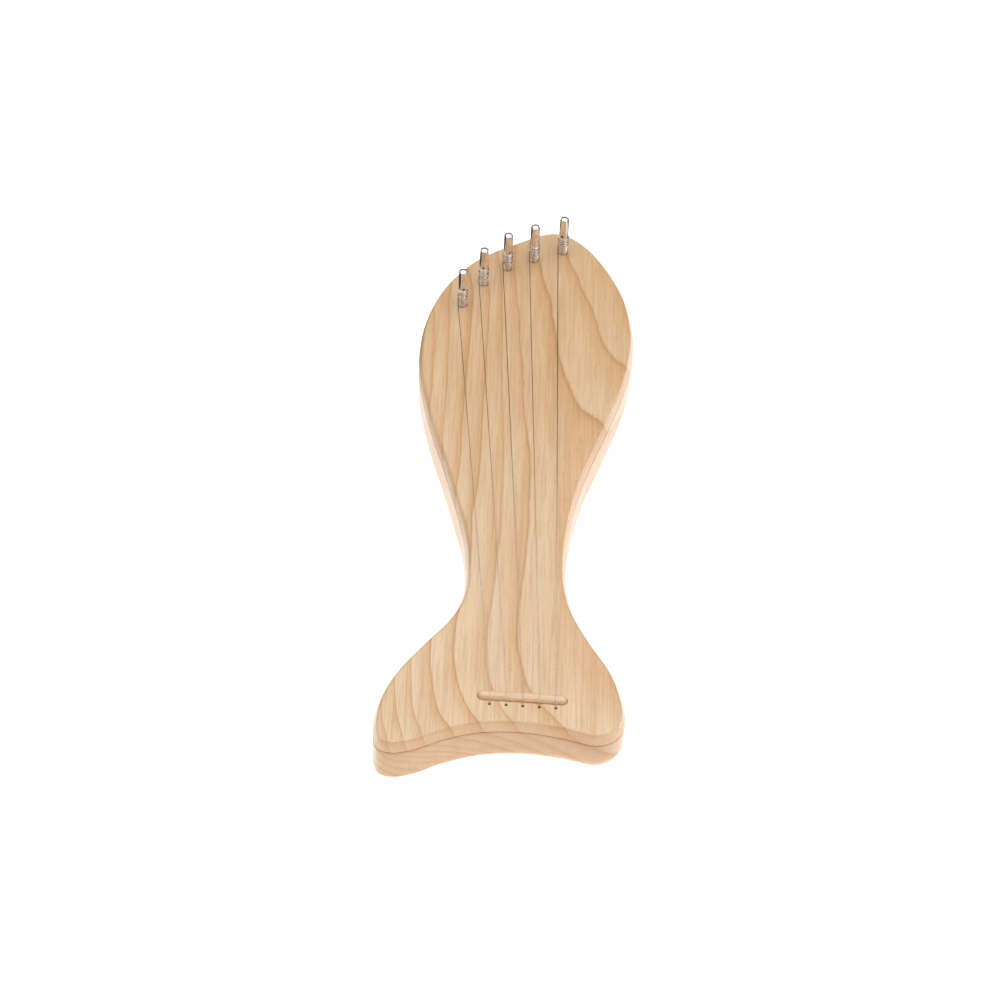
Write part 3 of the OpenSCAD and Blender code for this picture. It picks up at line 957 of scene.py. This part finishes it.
def metal_material(name, light, dark, rough_lo, rough_hi, scale, bump, painted_shade=None):
    m = Nodes(name)
    pos = m.add("ShaderNodeTexCoord").outputs["Object"]
    haze = m.noise(pos, scale, 3.0, 0.55)
    grit = m.noise(pos, scale * 9, 3.0, 0.6)
    spots = m.span(haze, 0.35, 0.7)
    col = m.mix(spots, light, dark)
    if painted_shade:
        # Painted shade: the wire is painted darker toward the pins, and nearly black below the top face, in the shade
        # of its hole.
        sep = m.add("ShaderNodeSeparateXYZ")
        m.link(pos, sep.inputs[0])
        up = m.span(sep.outputs[1], -0.090, 0.075)
        low = m.span(sep.outputs[2], 0.0252, 0.0246)
        col = m.mix(m.math("MULTIPLY", up, 0.92), col, painted_shade)
        col = m.mix(low, col, lin(58, 40, 28))
    m.set("Base Color", col)
    m.set("Metallic", 1.0)
    m.set("Roughness", m.math("ADD", m.span(haze, 0.3, 0.7, rough_lo, rough_hi), m.math("MULTIPLY", grit, 0.05)))
    m.set("Normal", m.bump(grit, bump, 0.00002))
    return m.mat


# ------------------------------------------------------------------ make everything
body = make_body()
bridge = make_bridge()
pins = [make_pin(i) for i in range(5)]
windings = [make_winding(i) for i in range(5)]
strings = [make_string(i) for i in range(5)]
balls = [make_ball(i) for i in range(5)]

ash = ash_material()
beech = bridge_material()
nickel = metal_material("nickel_plate", lin(244, 240, 240), lin(222, 216, 212), 0.05, 0.13, 260.0, 0.10)
steel = metal_material("string_wire", lin(240, 226, 206), lin(222, 204, 180), 0.24, 0.34, 400.0, 0.08, lin(126, 100, 80))
coil_steel = metal_material("winding_wire", lin(240, 232, 224), lin(205, 194, 182), 0.08, 0.16, 400.0, 0.10)
brass = metal_material("ball_brass", lin(222, 184, 110), lin(186, 140, 72), 0.20, 0.38, 300.0, 0.15)

for o, mat in [(body, ash), (bridge, beech)] + [(p, nickel) for p in pins] + [(w, coil_steel) for w in windings] \
        + [(s, steel) for s in strings] + [(b, brass) for b in balls]:
    o.data.materials.clear()
    o.data.materials.append(mat)


# ------------------------------------------------------------------ floor and light
def floor_and_light():
    mesh = bpy.data.meshes.new("floor")
    s = 9.0
    mesh.from_pydata([(-s, -s, -0.0003), (s, -s, -0.0003), (s, s, -0.0003), (-s, s, -0.0003)], [], [(0, 1, 2, 3)])
    floor = bpy.data.objects.new("floor", mesh)
    scene.collection.objects.link(floor)
    m = Nodes("floor_white")
    m.set("Base Color", (0.90, 0.90, 0.90, 1.0))
    m.set("Roughness", 0.9)
    m.set("Specular IOR Level", 0.1)
    m.set("Emission Color", (1.0, 1.0, 1.0, 1.0))
    m.set("Emission Strength", 0.62)
    mesh.materials.append(m.mat)

    def card(name, corners, faces, strength):
        me = bpy.data.meshes.new(name)
        me.from_pydata(corners, [], faces)
        o = bpy.data.objects.new(name, me)
        scene.collection.objects.link(o)
        c = Nodes(name)
        c.set("Base Color", (0.0, 0.0, 0.0, 1.0))
        c.set("Roughness", 1.0)
        c.set("Specular IOR Level", 0.0)
        c.set("Emission Color", (1.0, 1.0, 1.0, 1.0))
        c.set("Emission Strength", strength)
        me.materials.append(c.mat)
        o.visible_camera = False
        o.visible_diffuse = False
        o.visible_shadow = False
        o.visible_transmission = False
        return o

    # Dark cloth round the left side and the top of the head, which only shows in the metal.
    edge = closed_curve(RIM, 2)
    far = 3.0 + 19.0 * ease((150 - edge[:, 1]) / 40) * (edge[:, 0] < 0)
    out = edge - far.reshape(-1, 1) * inward(edge)
    pick = [k for k in range(len(edge)) if edge[k, 1] > 150 and edge[k, 0] < 60 or edge[k, 1] > -15 and edge[k, 0] < 0]
    cut = max(range(1, len(pick)), key=lambda j: pick[j] - pick[j - 1])
    if pick[cut] - pick[cut - 1] > 1:
        pick = pick[cut:] + pick[:cut]
    near_side = [out[k] - MID[:2] for k in pick]
    hub = np.array([5.0, 60.0]) - MID[:2]
    verts = [(q[0] * MM, q[1] * MM, 0.0004) for q in near_side]
    verts += [((hub[0] + 9 * (q[0] - hub[0])) * MM, (hub[1] + 9 * (q[1] - hub[1])) * MM, 0.0004) for q in near_side]
    k = len(near_side)
    card("cloth_behind", verts, [(j, j + 1, j + 1 + k, j + k) for j in range(k - 1)], 0.07)

    world = bpy.data.worlds.new("studio")
    scene.world = world
    world.use_nodes = True
    t = world.node_tree
    t.nodes.clear()
    out = t.nodes.new("ShaderNodeOutputWorld")
    bg = t.nodes.new("ShaderNodeBackground")
    white = t.nodes.new("ShaderNodeBackground")
    mix = t.nodes.new("ShaderNodeMixShader")
    path = t.nodes.new("ShaderNodeLightPath")
    bg.inputs[0].default_value = (1.0, 0.985, 0.965, 1.0)
    bg.inputs[1].default_value = 0.20
    white.inputs[0].default_value = (1.0, 1.0, 1.0, 1.0)
    white.inputs[1].default_value = 1.2
    t.links.new(path.outputs["Is Camera Ray"], mix.inputs[0])
    t.links.new(bg.outputs[0], mix.inputs[1])
    t.links.new(white.outputs[0], mix.inputs[2])
    t.links.new(mix.outputs[0], out.inputs[0])

    def area(name, place, target, size, size_y, power):
        d = bpy.data.lights.new(name, "AREA")
        d.energy = power
        d.shape = "RECTANGLE"
        d.size = size
        d.size_y = size_y
        o = bpy.data.objects.new(name, d)
        scene.collection.objects.link(o)
        o.location = place
        o.rotation_euler = (Vector(target) - Vector(place)).to_track_quat("-Z", "Y").to_euler()
        o.visible_camera = False
        return o

    # One large soft box overhead, reaching further to the front than to the back.
    area("soft_top", (0.0, 0.1, 1.6), (0.0, 0.1, 0.0), 3.8, 3.0, 48.0)
    # Two upright soft boxes in front, left and right of the camera.
    for name, x, power in (("soft_left", -1.15, 1.0), ("soft_right", 1.15, 3.2)):
        area(name, (x, -0.85, 0.62), (0.0, 0.0, 0.05), 0.7, 1.0, power)
    scene.view_settings.view_transform = "Standard"
    scene.view_settings.look = "None"
    scene.view_settings.exposure = 0.0
    scene.view_settings.gamma = 1.0


floor_and_light()
